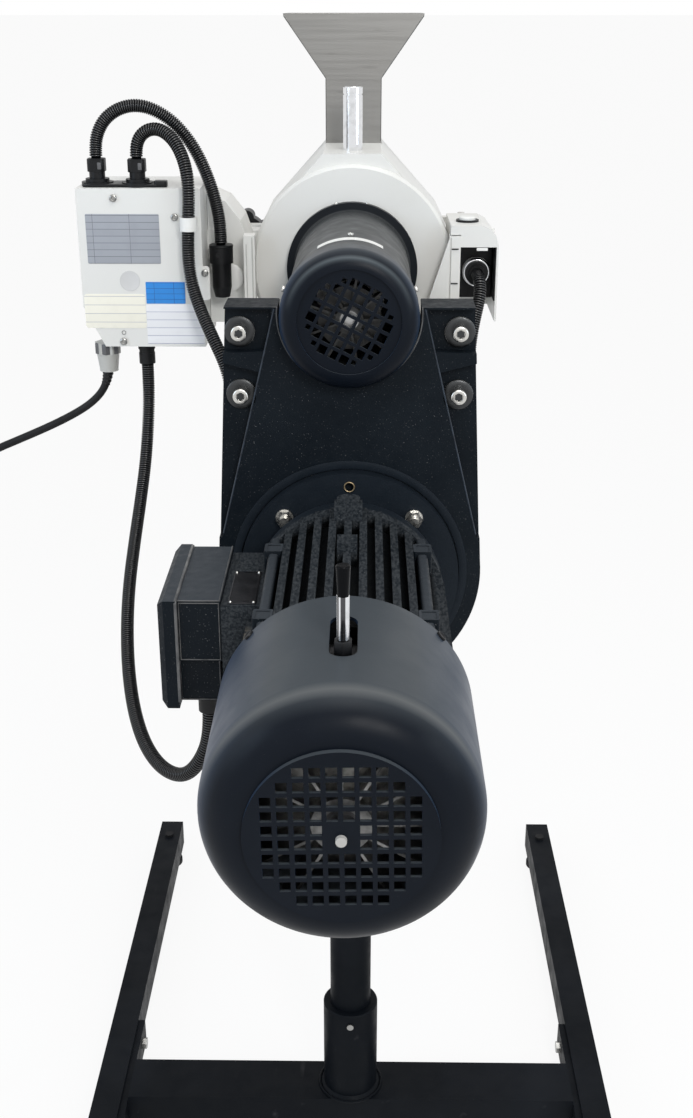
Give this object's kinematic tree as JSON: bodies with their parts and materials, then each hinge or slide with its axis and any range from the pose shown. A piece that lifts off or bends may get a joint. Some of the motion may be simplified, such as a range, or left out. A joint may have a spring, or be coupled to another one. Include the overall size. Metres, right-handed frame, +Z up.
{
  "type": "rotor beater mill",
  "caption": "Laboratory rotor beater mill on a floor stand: octagonal chamber with hopper, belt-driven spindle, finned brake motor, control box and corrugated hoses.",
  "frame": {"origin": "on the floor, in the middle of the machine's outline", "axes": "+Z up; both drive axes along Y; the motor's cowl points to -Y and the mill door to +Y"},
  "size_m": [0.8926, 1.168, 1.282],
  "materials": {
    "black_paint": "satin black enamel",
    "rubber": "black rubber",
    "zinc": "bright zinc or stainless fasteners",
    "white_paint": "light warm grey-white powder coat",
    "stainless": "brushed stainless steel",
    "chrome": "polished chrome",
    "black_plastic": "matte black plastic",
    "green_plastic": "green push button",
    "red_plastic": "red push button",
    "aluminium": "cast aluminium",
    "winding": "varnished winding",
    "iron": "bare iron",
    "grey_plastic": "grey plastic",
    "white_plastic": "white plastic",
    "hose_black": "black corrugated polyamide",
    "cord_black": "matte black sheath"
  },
  "bodies": {
    "machine": {"stand_legs": "black_paint", "stand_feet": "rubber", "crossbar": "black_paint", "stand_bolts": "zinc", "post_sleeve": "black_paint", "post": "black_paint", "post_saddle": "black_paint", "mill_frame": "white_paint", "chamber_back_plate": "white_paint", "chamber_body": "white_paint", "ring_sieve": "stainless", "door_seal": "rubber", "guide_post": "chrome", "lock_shroud": "white_paint", "safety_hood": "white_paint", "button_bezels": "chrome", "door_hinge": "zinc", "spindle_barrel": "black_paint", "spindle_cowl": "black_paint", "bearings": "stainless", "belt_casting": "black_paint", "belt_cover": "black_paint", "casting_bolts": "zinc", "drive_belt": "rubber", "motor_flange": "black_paint", "flange_nuts": "zinc", "motor_frame": "black_paint", "motor_stator": "winding", "brake_magnet": "iron", "motor_cowl": "black_paint", "terminal_box": "black_plastic", "terminal_box_lid": "black_plastic", "hose_fittings": "black_plastic", "mains_gland": "grey_plastic", "control_box": "white_paint", "control_box_panel": "white_paint", "hose_clip": "white_plastic", "lock_hose": "hose_black", "hood_hose": "hose_black", "motor_hose": "hose_black", "mains_cord": "cord_black", "mains_coil": "cord_black", "mains_plug": "black_plastic"},
    "motor_rotor": {"motor_rotor": "iron", "motor_pulley": "aluminium", "motor_fan": "aluminium", "brake_disc": "iron"},
    "spindle": {"spindle_shaft": "stainless", "spindle_pulley": "aluminium", "spindle_fan": "aluminium", "beater_rotor": "stainless"},
    "door": {"door": "white_paint"},
    "door_knob": {"door_knob": "black_plastic"},
    "hopper": {"hopper": "stainless"},
    "collector_vessel": {"collector_vessel": "stainless"},
    "brake_lever": {"brake_lever": "chrome", "brake_lever_grip": "black_plastic"},
    "hood_button": {"hood_button": "black_plastic"},
    "start_button": {"start_button": "green_plastic"},
    "stop_button": {"stop_button": "red_plastic"}
  },
  "joints": [
    {"name": "motor_spin", "type": "hinge", "parent": "machine", "child": "motor_rotor", "pos_m": [0, 0, 0.804], "axis": [0, 1, 0], "continuous": true},
    {"name": "spindle_spin", "type": "hinge", "parent": "machine", "child": "spindle", "pos_m": [0, 0, 1.0435], "axis": [0, 1, 0], "continuous": true},
    {"name": "door_hinge", "type": "hinge", "parent": "machine", "child": "door", "pos_m": [0.121, 0.262, 1.0295], "axis": [0, 0, -1], "range_deg": [0, 110]},
    {"name": "door_knob_turn", "type": "hinge", "parent": "door", "child": "door_knob", "pos_m": [-0.122, 0.28, 1.0465], "axis": [0, 1, 0], "range_deg": [0, 90]},
    {"name": "hopper_lift", "type": "slide", "parent": "machine", "child": "hopper", "axis": [0, 0, 1], "range_m": [0, 0.06]},
    {"name": "vessel_drop", "type": "slide", "parent": "machine", "child": "collector_vessel", "axis": [0, 0, -1], "range_m": [0, 0.15]},
    {"name": "brake_release", "type": "hinge", "parent": "machine", "child": "brake_lever", "pos_m": [0, -0.5, 0.85], "axis": [-1, 0, 0], "range_deg": [0, 20], "stiffness_Nm_per_rad": 8},
    {"name": "hood_button_press", "type": "slide", "parent": "machine", "child": "hood_button", "axis": [0, 0, -1], "range_m": [0, 0.003], "stiffness_N_per_m": 600},
    {"name": "start_button_press", "type": "slide", "parent": "machine", "child": "start_button", "axis": [0, -1, 0], "range_m": [0, 0.003], "stiffness_N_per_m": 600},
    {"name": "stop_button_press", "type": "slide", "parent": "machine", "child": "stop_button", "axis": [0, -1, 0], "range_m": [0, 0.003], "stiffness_N_per_m": 600}
  ],
  "couplings": [
    {"joint": "spindle_spin", "follows": "motor_spin", "ratio": 2.8571}
  ]
}
